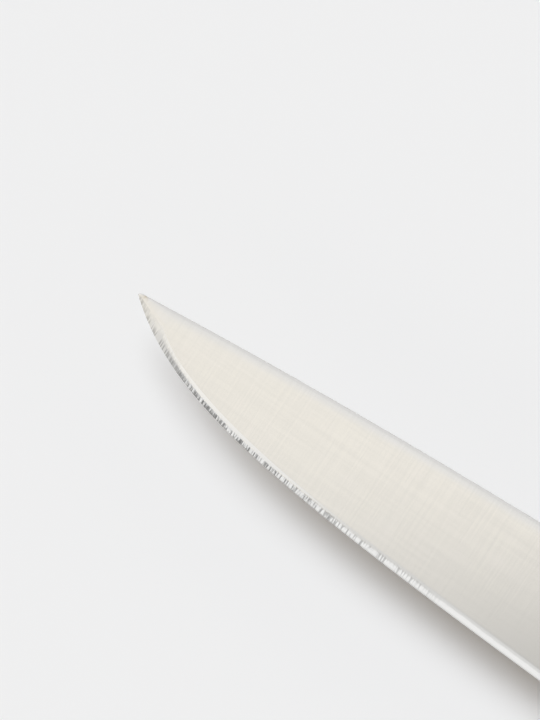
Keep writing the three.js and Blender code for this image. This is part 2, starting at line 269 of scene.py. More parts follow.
def makeLamps(plan):
    for lampForm in plan["lamps"]:
        tilt, aside = math.radians(lampForm["tilt"]), math.radians(lampForm["turn"])
        flat = pictureUp * math.cos(aside) - pictureRight * math.sin(aside)
        towards = flat * math.sin(tilt) + Vector((0, 0, math.cos(tilt)))
        deselectAll()
        bpy.ops.object.light_add(type="SUN", location=towards)
        lamp = bpy.context.object
        lamp.name = lampForm["name"]
        lamp.rotation_euler = towards.to_track_quat("Z", "Y").to_euler()
        lamp.data.energy = lampForm["level"]
        lamp.data.color = plan["lampColour"]
        lamp.data.angle = math.radians(lampForm["spread"])
        lamp.visible_glossy = False  # the steel mirrors the box and the card instead


def makeRoom(plan):
    world = bpy.data.worlds.new("studioRoom")
    world.use_nodes = True
    bpy.context.scene.world = world
    tree = world.node_tree
    direction = addNode(tree, "TexCoord").outputs["Generated"]
    rays = addNode(tree, "LightPath")

    def along(axis):
        node = addNode(tree, "VectorMath", {0: direction, 1: axis}, operation="DOT_PRODUCT")
        return node.outputs["Value"]

    def shine(colour, level):
        return addNode(tree, "Background", {"Color": colour, "Strength": level}).outputs[0]

    def both(first, second):
        return addNode(tree, "AddShader", {0: first, 1: second}).outputs[0]

    def either(share, first, second):
        return addNode(tree, "MixShader", {0: share, 1: first, 2: second}).outputs[0]

    right, up, high = along(pictureRight), along(pictureUp), along((0, 0, 1))
    overSpine = along((0, 1, 0))
    walls = remap(tree, high, *plan["wallFade"], plan["wallLevel"], 0, smooth=True)

    # overhead box
    low = remap(tree, up, *plan["boxLow"], 0, plan["boxLevel"], smooth=True)
    top = remap(tree, up, *plan["boxHigh"], 1, plan["boxFar"], smooth=True)
    side = remap(tree, mathNode(tree, "ABSOLUTE", right), *plan["boxSide"], 1, 0, smooth=True)
    box = mathNode(tree, "MULTIPLY", mathNode(tree, "MULTIPLY", low, top), side)
    for value, limits, ends in (
        (overSpine, plan["dimFrom"], (1, plan["dim"])),
        (right, plan["boxRises"], plan["boxRise"]),
        (high, plan["wallFade"], (0, 1)),
    ):
        box = mathNode(tree, "MULTIPLY", box, remap(tree, value, *limits, *ends))
    cool = remap(tree, overSpine, *plan["coolFrom"], 0, 1, smooth=True)
    coolLow = remap(tree, up, *plan["coolBelow"], plan["coolLow"], 0, smooth=True)
    cool = mathNode(tree, "MAXIMUM", cool, coolLow)
    boxColour = blendColour(tree, cool, plan["boxWarm"], plan["boxCool"])

    # card at the lower left
    card = remap(tree, up, *plan["cardTop"], plan["cardLevel"], 0)
    slant = mathNode(tree, "ADD", right, up)
    for value, limits, ends in (
        (up, plan["cardFoot"], (0, 1)),
        (right, plan["cardLeft"], (0, 1)),
        (slant, plan["cardRight"], (1, 0)),
    ):
        card = mathNode(tree, "MULTIPLY", card, remap(tree, value, *limits, *ends, smooth=True))

    # the rest of the room, paler at the left and near the floor
    leftEnd = plan["roomLevel"] + plan["leftLevel"]
    room = remap(tree, right, *plan["leftFade"], leftEnd, plan["roomLevel"], smooth=True)
    nearFloor = remap(tree, high, *plan["wallFade"], plan["lowLevel"], 0, smooth=True)
    room = mathNode(tree, "ADD", room, nearFloor)

    # all three are only mirrored, and the camera sees a plain backdrop
    mirrored = both(both(shine(boxColour, box), shine(white, card)), shine(white, room))
    above = remap(tree, high, *plan["mirrorFrom"], 0, 1)
    direct = mathNode(tree, "LESS_THAN", rays.outputs["Diffuse Depth"], 0.5)
    direct = mathNode(tree, "MULTIPLY", direct, rays.outputs["Is Glossy Ray"])
    share = mathNode(tree, "MULTIPLY", above, direct)
    lit = either(share, shine(plan["wallColour"], walls), mirrored)
    seen = either(rays.outputs["Is Camera Ray"], lit, shine(white, plan["backdropLevel"]))
    tree.nodes.remove(tree.nodes["Background"])
    tree.links.new(seen, tree.nodes["World Output"].inputs["Surface"])


# outlines seen from the side, in millimetres from the heel line and the spine line

bladeOutline = {
    "length": 110.5, "heelHeight": 20, "spineDrop": 3.97, "spineRun": 64,
    "noseHeight": 0.43, "noseRun": 1.2,
    "heelEdgeAngle": 3, "tipEdgeAngle": 40.5, "edgeRun": 76, "bellyRun": 17.3,
    "heelStep": 4.6, "heelLean": 2.6, "choilRadius": 3.4, "ricasso": 3,
}
handleOutline = {
    "length": 103, "frontSlant": 3,
    "bellyDepth": 18.9, "bellyFromFront": 36,
    "waistDepth": 17.2, "waistFromButt": 33,
    "hookDepth": 20.6, "hookFromButt": 9.5,
    "archRise": 0.9, "archFromFront": 40,
    "buttTopDrop": 1.8, "buttTopFromButt": 9, "buttMiddleDepth": 10.4,
}
curveSteps = 240
tangFace = 0.8  # half of the steel sheet
frontX = bladeOutline["heelLean"] + bladeOutline["choilRadius"] + bladeOutline["ricasso"]
frontDepth = bladeOutline["heelHeight"] - bladeOutline["heelStep"]
buttX = frontX + handleOutline["length"]
knifeOrigin = Vector((
    bladeLow.x + bladeOutline["length"] * mm,
    bladeHigh.y - handleOutline["archRise"] * mm,
    (bladeLow.z + bladeHigh.z) / 2,
))


def curve(*points, count=curveSteps):
    share = np.linspace(0, 1, count)[:, None]
    points = [np.asarray(point, float) for point in points]
    while len(points) > 1:
        points = [start + (end - start) * share for start, end in zip(points, points[1:])]
    return points[0]


def glide(start, end):
    half = (start[0] + end[0]) / 2  # leaves and arrives level
    return curve(start, (half, start[1]), (half, end[1]), end)


def quarterEllipse(middle, across, rise):
    angle = np.linspace(math.pi / 2, 0, curveSteps)
    return np.stack([middle[0] + across * np.cos(angle), middle[1] + rise * np.sin(angle)], 1)


def handleTop(shape):
    arch = (frontX + shape["archFromFront"], shape["archRise"])
    butt = (buttX - shape["buttTopFromButt"], -shape["buttTopDrop"])
    middle = (butt[0], -shape["buttMiddleDepth"])
    rise = shape["buttMiddleDepth"] - shape["buttTopDrop"]
    return np.concatenate([
        glide((frontX, 0), arch),
        glide(arch, butt),
        quarterEllipse(middle, shape["buttTopFromButt"], rise),
    ])


def handleUnderside(shape):
    front = (frontX + shape["frontSlant"], -frontDepth)
    belly = (frontX + shape["bellyFromFront"], -shape["bellyDepth"])
    waist = (buttX - shape["waistFromButt"], -shape["waistDepth"])
    hook = (buttX - shape["hookFromButt"], -shape["hookDepth"])
    middle = (hook[0], -shape["buttMiddleDepth"])
    rise = shape["buttMiddleDepth"] - shape["hookDepth"]
    return np.concatenate([
        glide(front, belly),
        glide(belly, waist),
        glide(waist, hook),
        quarterEllipse(middle, shape["hookFromButt"], rise),
    ])


def edgeLine(shape):
    tip = np.array([-shape["length"], -shape["spineDrop"] - shape["noseHeight"]])
    heel = np.array([0, -shape["heelHeight"]])
    low, steep = math.radians(shape["heelEdgeAngle"]), math.radians(shape["tipEdgeAngle"])
    return curve(
        tip,
        tip + shape["bellyRun"] * np.array([math.cos(steep), -math.sin(steep)]),
        heel + shape["edgeRun"] * np.array([-math.cos(low), math.sin(low)]),
        heel,
        count=4000,
    )


def spineLine(shape):
    start = (shape["noseRun"] - shape["length"], -shape["spineDrop"])
    return curve(start, (-shape["spineRun"], 0), (0, 0))


def noseLine(shape):
    corner = np.array([-shape["length"], -shape["spineDrop"]])
    return curve(corner - (0, shape["noseHeight"]), corner, corner + (shape["noseRun"], 0))


def heelLine(shape):
    corner = np.array([shape["heelLean"], -frontDepth])
    down = np.array([-shape["heelLean"], -shape["heelStep"]])
    side = corner + down * (shape["choilRadius"] / np.hypot(*down))
    return np.concatenate([
        curve((0, -shape["heelHeight"]), side),
        curve(side, corner, (shape["heelLean"] + shape["choilRadius"], -frontDepth)),
    ])


def lengthAlong(points):
    steps = np.hypot(*np.diff(points, axis=0).T)
    return np.concatenate([[0], np.cumsum(steps)])


def evenly(points, spacing):
    run = lengthAlong(points)
    at = np.linspace(0, run[-1], max(2, round(run[-1] / spacing)))
    return np.stack([np.interp(at, run, points[:, 0]), np.interp(at, run, points[:, 1])], 1)


topLine = np.concatenate([
    noseLine(bladeOutline), spineLine(bladeOutline), handleTop(handleOutline),
])
bottomLine = np.concatenate([
    edgeLine(bladeOutline), heelLine(bladeOutline), handleUnderside(handleOutline),
])


def heightOf(line, x):
    return np.interp(x, line[:, 0], line[:, 1])


def slopeOf(line, x, step=0.01):
    return (heightOf(line, x + step) - heightOf(line, x - step)) / (2 * step)


# blade and tang

bladeGrind = {
    "skin": 0.05,  # ground off each face at the heel's spine
    "tipHalf": 0.25, "faceTilt": 2, "noseClose": 0.3,
    "crown": 0.04, "rollWidth": 1.7, "rollDepth": 0.13,
    "shoulderWidth": 0.52, "shoulderAngle": 6, "shoulderStart": (5, 13),  # from the tip
    "bevelWidth": 0.6, "bevelAngle": 14, "edgeHalf": 0.045,
    "bevelFrom": (2, 10, 42, 52), "bevelRuns": (1.3, 0.58, 0.58, 0.70),  # along the edge, and widths
    "runoutLength": 5, "runoutGap": 1, "bandShare": 0.8,
    "spineCorner": 0.06, "tangCorner": 0.07, "cornerShare": 0.3, "cornerGrows": 0.6,
    "sliver": 0.004, "weld": 0.0002, "mirrorWeld": 0.0005, "smoothAngle": 28,
    # stations along the edge, closer together at the nose
    "noseStations": (0, 0.01, 0.025, 0.045, 0.07, 0.1, 0.14, 0.19, 0.25, 0.32),
    "fineFrom": 0.4, "fineUntil": 52, "fineSpacing": 0.06, "wideSpacing": 0.16, "heelGap": 0.04,
    # and how many behind the heel
    "ricassoStations": 40, "tangStations": 63, "buttStations": 25, "buttRun": 12,
}
grindTicks = {
    "seed": 11,
    "from": (0, 5, 12, 25, 38, 46, 53, 115),  # along the edge
    "spacing": (0.12, 0.12, 0.14, 0.17, 0.20, 0.26, 0.40, 0.6),
    "depth": (0.003, 0.016, 0.045, 0.050, 0.050, 0.040, 0.022, 0.012),
    "reach": (0.55, 1.3),  # fading above this much of the bevel
    "edgeLeft": 0.008, "waver": 0.010, "waverRun": 4,
    "uneven": (0.5, 1.6), "depthShape": (0.8, 1.3),  # of the random draws
}
capRows = 3  # from the middle plane to the end of the corner, on the spine and underneath
rollRows = [0.7, 0.4, 0.15, -0.15]  # over the foot of the rolled spine, in shares of its width
faceRows = 5
rowsAbove = [1.29, 1.13]  # still satin; distances from the edge, in shares of the ground band
edgeRows = [*rowsAbove, *np.linspace(0.98, 0, 14)]


def tickDepth(ticks, run, squeeze):
    # uneven grinding marks: depth at each length along the edge
    draw = np.random.default_rng(ticks["seed"])
    at, depth = [0.0], [0.0]
    while at[-1] < run.max():
        spacing = np.interp(at[-1], ticks["from"], ticks["spacing"])
        at.append(at[-1] + spacing * draw.uniform(*ticks["uneven"]))
        deepest = np.interp(at[-1], ticks["from"], ticks["depth"])
        depth.append(deepest * draw.beta(*ticks["depthShape"]))
    waves = draw.uniform(-1, 1, int(run.max() / ticks["waverRun"]) + 3)
    slow = ticks["waver"] * np.interp(run, np.arange(len(waves)) * ticks["waverRun"], waves)
    return squeeze * (np.interp(run, at, depth) + slow)


def bladeStations(grind):
    edge = edgeLine(bladeOutline)
    run = lengthAlong(edge)
    fine = np.arange(grind["fineFrom"], grind["fineUntil"], grind["fineSpacing"])
    wide = np.arange(grind["fineUntil"], run[-1] - grind["heelGap"], grind["wideSpacing"])
    along = np.concatenate([grind["noseStations"], fine, wide, run[-1:]])
    inBlade = np.interp(along, run, edge[:, 0])
    buttFrom = buttX - grind["buttRun"]
    roundButt = np.sin(np.linspace(0, math.pi / 2, grind["buttStations"] + 1))
    behind = np.concatenate([
        np.linspace(0, frontX, grind["ricassoStations"] + 1)[1:],
        np.linspace(frontX, buttFrom, grind["tangStations"] + 1)[1:],
        buttFrom + grind["buttRun"] * roundButt[1:],
    ])
    return np.concatenate([inBlade, behind]), np.concatenate([along, run[-1] + behind])


def bladePoints(grind):
    x, run = bladeStations(grind)
    shape = bladeOutline
    share = np.clip(-x / shape["length"], 0, 1)
    top, bottom = heightOf(topLine, x), heightOf(bottomLine, x)
    heelSlope = math.tan(math.radians(shape["heelEdgeAngle"]))
    straightOn = -shape["heelHeight"] - heelSlope * x
    choilEnd = frontX - shape["ricasso"]
    toTang = np.clip((x - choilEnd) / shape["ricasso"], 0, 1)
    edge = np.where(x <= 0, bottom, straightOn + (bottom - straightOn) * toTang)
    nearHeel = -0.02  # the edge's slope is taken in front of the heel
    slope = np.where(x < nearHeel, slopeOf(edgeLine(shape), np.minimum(x, nearHeel)), -heelSlope)
    upright = np.cos(np.arctan(slope))

    # widths and rises of the bands along edge and spine
    bevel, shoulder = math.radians(grind["bevelAngle"]), math.radians(grind["shoulderAngle"])
    bevelRun = np.interp(run, grind["bevelFrom"], grind["bevelRuns"])
    shoulderRun = grind["shoulderWidth"] * math.cos(shoulder)
    bevelRise = grind["bevelWidth"] * math.sin(bevel)
    bandRun = bevelRun + shoulderRun
    start, full = grind["shoulderStart"]
    formed = np.clip((run - start) / (full - start), 0, 1)
    faceLean = math.tan(math.radians(grind["faceTilt"]))
    shoulderLean = faceLean * (1 - formed) + math.tan(shoulder) * formed
    spineY = heightOf(spineLine(shape), x)
    bands = bandRun / upright + grind["rollWidth"]
    squeeze = np.clip(grind["bandShare"] * (spineY - edge) / bands, 1e-3, 1)
    ticks = np.where(x < 0, tickDepth(grindTicks, run, squeeze), 0)
    shoulderTop = grind["edgeHalf"] + squeeze * (bevelRise + shoulderRun * shoulderLean)
    rollY = spineY - squeeze * grind["rollWidth"]
    shoulderY = edge + squeeze * bandRun / upright
    taper = tangFace - grind["skin"] + (grind["tipHalf"] - tangFace + grind["skin"]) * share
    steepest = shoulderTop + (rollY - shoulderY) * faceLean
    spineHalf = np.minimum(taper, steepest)
    climbFrom = frontX - grind["runoutGap"] - grind["runoutLength"]
    climb = np.clip((x - climbFrom) / grind["runoutLength"], 0, 1) ** 2
    thin = np.clip(run / grind["noseClose"], 0, 1) ** 0.5  # the tip closes in one point

    def halfAt(y):
        fromEdge = (y - edge) * upright / squeeze
        marked = np.interp(fromEdge / bevelRun, grindTicks["reach"], (1, 0))
        bevelZ = squeeze * fromEdge * bevelRise / bevelRun - ticks * marked
        shoulderZ = squeeze * (bevelRise + (fromEdge - bevelRun) * shoulderLean)
        edgeZ = grind["edgeHalf"] + np.minimum(bevelZ, shoulderZ)
        up = np.clip((y - shoulderY) / np.maximum(rollY - shoulderY, 1e-6), 0, 1)
        swell = grind["crown"] * squeeze * 4 * up * (1 - up)
        faceZ = shoulderTop + (spineHalf - shoulderTop) * up + swell
        rolled = np.clip((y - rollY) / (squeeze * grind["rollWidth"]), 0, 1)
        faceZ = faceZ - squeeze * grind["rollDepth"] * rolled**2
        half = np.where(fromEdge < bandRun, edgeZ, faceZ)
        half = half + (2 * tangFace - half) * climb
        return np.clip(half, grindTicks["edgeLeft"], tangFace) * thin

    # corner radius along the spine, round the tang and behind the heel
    height = np.maximum(top - bottom, 0)
    upper = np.where(x < 0, grind["spineCorner"], grind["tangCorner"])
    upper = np.minimum(upper, grind["cornerShare"] * height) * thin
    lower = np.where(x < 0, 0, grind["tangCorner"] * np.clip(x / grind["cornerGrows"], 0, 1))
    upper[-1] = lower[-1] = grind["tangCorner"]

    def inset(line, radius, side):
        lean = slopeOf(line, x, 0.002)
        lean[-1] = -side * 1e6  # upright at the end of the butt
        size = np.hypot(1, lean)
        return side * radius * lean / size, -side * radius / size

    rows = []
    topX, topY = inset(topLine, upper, 1)
    lowX, lowY = inset(bottomLine, lower, -1)
    highest, lowest = top + topY, bottom + lowY
    topHalf, lowHalf = halfAt(highest), halfAt(lowest)
    corner = 1 - math.sqrt(0.5)
    topCorner = np.minimum(upper, topHalf)
    flat = topHalf - topCorner
    rows.append((x, top, 0 * x))
    rows.append((x, top, np.where(flat < grind["sliver"], 0, flat)))  # no slivers at the nose
    rows.append((x + corner * topX, top + corner * topY, topHalf - corner * topCorner))

    def addRow(y):
        y = np.clip(y, lowest, highest)
        down = (highest - y) / np.maximum(highest - lowest, 1e-9)
        rows.append((x + topX + (lowX - topX) * down, y, halfAt(y)))

    addRow(highest)
    for part in rollRows:
        addRow(rollY + part * squeeze * grind["rollWidth"])
    upperFace = rollY + rollRows[-1] * squeeze * grind["rollWidth"]
    lowerFace = edge + squeeze * edgeRows[0] * bandRun / upright
    for i in range(1, faceRows + 1):
        addRow(upperFace + (lowerFace - upperFace) * i / (faceRows + 1))
    for away in edgeRows:
        addRow(edge + squeeze * away * bandRun / upright)
    addRow(lowest)
    lowCorner = np.minimum(lower, lowHalf)
    rows.append((x + corner * lowX, bottom + corner * lowY, lowHalf - corner * lowCorner))
    rows.append((x, bottom, lowHalf - lowCorner))
    rows.append((x, bottom, 0 * x))
    points = np.stack([np.stack(row, 1) for row in rows])  # rows, stations, xyz
    fromEdge = (points[:, :, 1] - edge) * upright / bandRun
    return points, np.broadcast_to(run, fromEdge.shape), fromEdge


def makeBlade(grind):
    points, along, fromEdge = bladePoints(grind)
    rowCount, stationCount = points.shape[:2]
    deselectAll()
    bpy.ops.mesh.primitive_grid_add(
        x_subdivisions=stationCount - 1, y_subdivisions=rowCount - 1, size=0.2, calc_uvs=True,
    )
    blade = bpy.context.object
    mesh = blade.data
    placePoints(blade, points.reshape(-1, 3))

    # the grid's map: metres along the edge, and distance from it as a share of the ground band
    corners = np.zeros(len(mesh.loops), int)
    mesh.loops.foreach_get("vertex_index", corners)
    flat = np.stack([along.ravel() * mm, fromEdge.ravel()], 1)[corners]
    mesh.uv_layers.active.name = "edgeMap"
    mesh.uv_layers.active.data.foreach_set("uv", flat.ravel())

    # finish of each face: 0 satin, 1 ground edge, 2 spine and outline of the tang
    first = np.zeros(len(mesh.polygons), int)
    mesh.polygons.foreach_get("loop_start", first)
    cornerRows = corners // stationCount
    faceRow = np.minimum.reduceat(cornerRows, first)
    faceStation = np.minimum.reduceat(corners % stationCount, first)
    inBlade = points[0, faceStation, 0] < -1e-6
    edgeStart = capRows + 1 + len(rollRows) + faceRows + len(rowsAbove)
    finish = np.zeros(len(faceRow), int)
    finish[(faceRow >= edgeStart) & inBlade] = 1
    underneath = faceRow >= rowCount - 1 - capRows
    finish[(faceRow < capRows) | (underneath & ~inBlade)] = 2
    for material in (satinSteel, groundEdge, spineSteel):
        mesh.materials.append(material)
    mesh.polygons.foreach_set("material_index", finish)

    tidyMesh(blade, grind["weld"] * mm)
    useModifier(
        blade, "MIRROR", use_axis=(False, False, True), merge_threshold=grind["mirrorWeld"] * mm,
    )
    tidyMesh(blade, grind["weld"] * mm)
    for spot in rivetSpots:
        cut(blade, drill(spot, rivetSizes["sleeveRadius"] + rivetSizes["fit"]))
    finishPiece(blade, "bladeWithTang", "blade_with_tang", [], grind["smoothAngle"])
    print("blade,", len(mesh.polygons), "faces")


# steel finishes

steelFinish = {
    "pale": (0.799, 0.792, 0.771, 1), "rosy": (0.799, 0.789, 0.775, 1),
    "grey": (0.775, 0.768, 0.750, 1),
    "grain": (3700, 100, 30), "lengthwise": (80, 1700, 30), "broad": (420, 9, 9),  # per metre
    "grainShare": 0.50, "lengthShare": 0.44, "broadShare": 0.06, "toneRange": (0.40, 0.60),
    "bloom": (300, 300, 30), "bloomRange": (0.35, 0.65),
    "roughRange": (0.35, 0.65), "rough": (0.21, 0.17), "bump": (0.5, 0.0016),
    # stain at the tip, in millimetres from it
    "straw": (0.57, 0.49, 0.36, 1), "strawSpot": (1.0, -0.05, 0), "strawReach": 0.8,
    "strawCloud": (1700, 1700, 1700), "cloudRange": (0.40, 0.60), "strawShare": (0.2, 0.9),
    # spine and outline of the tang
    "spinePale": (0.84, 0.835, 0.83, 1), "spineDark": (0.75, 0.745, 0.74, 1),
    "spineBrush": (60, 3200, 3200), "spineRange": (0.3, 0.7), "spineRough": (0.60, 0.45),
    "spineBump": (0.5, 0.01),
}


def makeSatinSteel(look):
    material, tree, shader = newMaterial("satinSteel", Metallic=1.0)
    coords = addNode(tree, "TexCoord").outputs["Object"]
    grain = streaks(tree, coords, look["grain"], detail=2)
    broad = streaks(tree, coords, look["broad"], detail=1)
    lengthwise = streaks(tree, coords, look["lengthwise"], detail=2)
    tone = mathNode(tree, "MULTIPLY", grain, look["grainShare"])
    for layer, share in ((lengthwise, look["lengthShare"]), (broad, look["broadShare"])):
        tone = mathNode(tree, "ADD", tone, mathNode(tree, "MULTIPLY", layer, share))
    bloom = streaks(tree, coords, look["bloom"], detail=3)
    bloom = remap(tree, bloom, *look["bloomRange"], 0, 1)
    pale = blendColour(tree, bloom, look["pale"], look["rosy"])
    colour = blendColour(tree, remap(tree, tone, *look["toneRange"], 0, 1), look["grey"], pale)

    # a small straw-coloured stain at the tip
    spot = tipPoint + Vector(look["strawSpot"]) * mm
    flat = addNode(tree, "VectorMath", {0: coords, 1: (1, 1, 0)}, operation="MULTIPLY").outputs[0]
    toSpot = addNode(tree, "VectorMath", {0: flat, 1: (spot.x, spot.y, 0)}, operation="DISTANCE")
    cloud = streaks(tree, coords, look["strawCloud"], detail=2)
    cloud = remap(tree, cloud, *look["cloudRange"], *look["strawShare"])
    near = remap(tree, toSpot.outputs["Value"], 0, look["strawReach"] * mm, 1, 0, smooth=True)
    stain = mathNode(tree, "MULTIPLY", near, cloud)
    colour = blendColour(tree, stain, colour, look["straw"])
    roughness = remap(tree, tone, *look["roughRange"], *look["rough"])
    dress(tree, shader, colour, roughness, tone, look["bump"])
    return material


edgeFinish = {
    # the tip and dull colours are darker as painted shade near the tip, where the bevel is partly also
    # a duller, rougher finish
    "bevel": (0.80, 0.797, 0.785, 1), "tip": (0.69, 0.69, 0.685, 1), "dull": (0.71, 0.71, 0.705, 1),
    # the shoulder's brighter colour is a painted highlight, and its grey towards the heel painted
    # shade
    "shoulder": (0.885, 0.883, 0.875, 1), "grey": (0.76, 0.756, 0.742, 1),
    # the strokes' dark colour is painted shade in the grind marks and hatching; the marks themselves
    # are in the geometry and bump
    "strokeShade": (0.22, 0.22, 0.217, 1),
    "marks": (3500, 0.2, 1), "hatching": (3000, 0.2, 1),  # per metre, and per band
    "hatchShift": (1.7, 0.2, 0), "hatchRange": (0.46, 0.56), "hatch": (0.45, 0.55),
    "clusters": (480, 0.1, 1), "clustered": 0.4, "darkRange": (0.50, 0.58), "darkest": 0.85,
    "rough": (0.19, 0.30), "bump": (1.0, 0.025),
    # heights in shares of the ground band: the bevel's limit, the strokes' middle, the foot darkened
    # as painted shade
    "tops": (0.55, 0.75), "feather": 0.1, "jagged": 0.5,
    "tipTops": (0.34, 0.68), "tipFeather": 0.28, "tipJagged": 1.4,
    "leanMiddle": 0.35, "leans": (0.25, -0.1), "footShadeReach": 0.22, "worn": 0.4,
    # millimetres along the edge
    "tipUntil": (9, 16), "dullFrom": (2, 6), "tipRises": (4, 8), "topRises": (27, 36),
    "shoulderFrom": (4, 9), "greyFrom": (31, 44), "hatchFrom": (1.5, 7), "leanFrom": (21, 30),
    "footShadeFrom": (24, 34),
    "strokesFrom": (7, 15), "strokesFade": (28, 44), "strokesUntil": (51, 58), "fewStrokes": 0.5,
}


def makeGroundEdge(look):
    # polished shoulder, its brighter colour a painted highlight, and below it the bevel with its
    # coarse marks
    material, tree, shader = newMaterial("groundEdge", Metallic=1.0)
    place = addNode(tree, "UVMap", uv_map="edgeMap").outputs[0]
    split = addNode(tree, "SeparateXYZ", {0: place})
    along = mathNode(tree, "DIVIDE", split.outputs["X"], mm)
    up = split.outputs["Y"]
    marks = streaks(tree, place, look["marks"], detail=2)
    hatching = streaks(tree, place, look["hatching"], detail=1, offset=look["hatchShift"])

    def times(first, second):
        return mathNode(tree, "MULTIPLY", first, second)

    def reached(limits, before=0, after=1):
        return remap(tree, along, *limits, before, after, smooth=True)

    tip = reached(look["tipUntil"], 1, 0)
    dull = times(tip, reached(look["dullFrom"]))
    strokes = times(reached(look["strokesFrom"]), reached(look["strokesFade"], 1, look["fewStrokes"]))
    strokes = times(strokes, reached(look["strokesUntil"], 1, 0))

    # the bevel's upper limit is ragged, and soft at the tip
    def ragged(noise, size, top, feather):
        away = times(mathNode(tree, "SUBTRACT", noise, 0.5), size)
        height = mathNode(tree, "SUBTRACT", mathNode(tree, "ADD", up, away), top)
        return remap(tree, height, -feather, feather, 1, 0, smooth=True)

    plainTop = reached(look["topRises"], *look["tops"])
    plain = ragged(marks, look["jagged"], plainTop, look["feather"])
    softTop = reached(look["tipRises"], *look["tipTops"])
    soft = ragged(hatching, look["tipJagged"], softTop, look["tipFeather"])
    bevel = mathNode(tree, "ADD", plain, times(tip, mathNode(tree, "SUBTRACT", soft, plain)))

    # dull hatched metal near the tip, bright facets and dark strokes further along; the darker colour
    # near the tip and the dark strokes and hatch lines are painted shade
    # painted shade: the bevel's colour darker near the tip
    base = blendColour(tree, tip, look["bevel"], look["tip"])
    base = blendColour(tree, dull, base, look["dull"])
    lines = times(remap(tree, hatching, *look["hatchRange"], 0, 1, smooth=True), tip)
    lines = times(lines, reached(look["hatchFrom"], *look["hatch"]))
    # painted shade: dark hatch lines near the tip
    base = blendColour(tree, lines, base, look["strokeShade"])
    below = mathNode(tree, "SUBTRACT", look["leanMiddle"], up)
    lean = times(below, reached(look["leanFrom"], *look["leans"]))
    clusters = mathNode(tree, "SUBTRACT", streaks(tree, place, look["clusters"], detail=1), 0.5)
    lean = mathNode(tree, "ADD", lean, times(clusters, look["clustered"]))
    dark = mathNode(tree, "ADD", marks, lean)
    dark = remap(tree, dark, *look["darkRange"], 0, look["darkest"], smooth=True)
    # painted shade: dark strokes in the grind marks
    base = blendColour(tree, times(dark, strokes), base, look["strokeShade"])
    # painted shade: the bevel's foot darker towards the edge, from about 24 mm along it
    worn = remap(tree, up, 0, look["footShadeReach"], look["worn"], 0)
    worn = times(worn, reached(look["footShadeFrom"]))
    base = blendColour(tree, worn, base, look["strokeShade"])
    # painted highlight and shade on the shoulder: brighter from a few millimetres behind the tip,
    # greyer towards the heel
    shoulder = blendColour(tree, reached(look["shoulderFrom"]), steelFinish["grey"], look["shoulder"])
    shoulder = blendColour(tree, reached(look["greyFrom"]), shoulder, look["grey"])
    colour = blendColour(tree, bevel, shoulder, base)
    relief = times(marks, times(bevel, strokes))
    dress(tree, shader, colour, remap(tree, dull, 0, 1, *look["rough"]), relief, look["bump"])
    return material


def makeSpineSteel(look):
    material, tree, shader = newMaterial("spineSteel", Metallic=1.0)
    coords = addNode(tree, "TexCoord").outputs["Object"]
    brushed = streaks(tree, coords, look["spineBrush"], detail=4)
    colour = blendColour(tree, brushed, look["spineDark"], look["spinePale"])
    roughness = remap(tree, brushed, *look["spineRange"], *look["spineRough"])
    dress(tree, shader, colour, roughness, brushed, look["spineBump"])
    return material


# rivets: a hollow sleeve from the left and a post from the right, heads flush with the wood

rivetSizes = {
    "names": ("front_rivet", "middle_rivet", "rear_rivet"),
    "firstFromFront": 15, "lastFromButt": 18,
    "postRadius": 1.4, "sleeveRadius": 2.2, "headRadius": 3.0, "headThickness": 1.7,
    "fit": 0.05, "sleeveEndGap": 0.6, "postEndGap": 0.8, "sleeveCap": 0.6,
    "sleeveEase": 0.15, "postEase": 0.3, "headChamfer": 0.14, "chamferEase": 0.35,
    "headCrown": 0.05, "crownRings": ((0.7, 0.55), (0.35, 0.9)),  # shares of its radius and height
    "turns": 64, "drillPast": 2, "weld": 0.001,
}
scaleThickness = 6.2
scaleFace = tangFace + scaleThickness
headSeat = scaleFace - rivetSizes["headThickness"]


def findRivetSpots(sizes):
    first, last = frontX + sizes["firstFromFront"], buttX - sizes["lastFromButt"]
    x = np.linspace(first, last, len(sizes["names"]))
    over = heightOf(handleTop(handleOutline), x)
    under = heightOf(handleUnderside(handleOutline), x)
    return list(zip(x, (over + under) / 2))


rivetSpots = findRivetSpots(rivetSizes)


def turned(profile, spot, steps):
    # spins a profile of radius and height about the rivet's axis; both ends lie on the axis
    deselectAll()
    bpy.ops.mesh.primitive_circle_add(vertices=len(profile), radius=0.01, fill_type="NOTHING")
    obj = bpy.context.object
    placePoints(obj, [(radius, 0, height) for radius, height in profile])
    ends = [0, len(profile) - 1]
    selectWhere(obj, "EDGE", lambda edge: sorted(edge.vertices) == ends)
    bpy.ops.mesh.delete(type="EDGE")
    bpy.ops.mesh.select_all(action="SELECT")
    bpy.ops.mesh.spin(steps=steps, angle=2 * math.pi, center=(0, 0, 0), axis=(0, 0, 1))
    tidyMesh(obj, rivetSizes["weld"] * mm)
    bpy.ops.transform.translate(value=(spot[0] * mm, spot[1] * mm, 0))
    bpy.ops.object.transform_apply(location=True, rotation=True, scale=True)
    return obj


def drill(spot, radius):
    deep = tangFace + rivetSizes["drillPast"]
    profile = [(0, -deep), (radius, -deep), (radius, deep), (0, deep)]
    return turned(profile, spot, rivetSizes["turns"])


def rivetHead(sizes, side):
    # from the seat's rim to the middle of the head
    radius, chamfer = sizes["headRadius"], sizes["headChamfer"]
    ease = chamfer * sizes["chamferEase"]
    rim = scaleFace - sizes["headCrown"]
    crown = [(radius * out, side * (rim + sizes["headCrown"] * up)) for out, up in sizes["crownRings"]]
    return [
        (radius, side * headSeat),
        (radius, side * (rim - chamfer)),
        (radius - ease, side * (rim - ease)),
        (radius - chamfer, side * rim),
        *crown,
        (0, side * scaleFace),
    ]


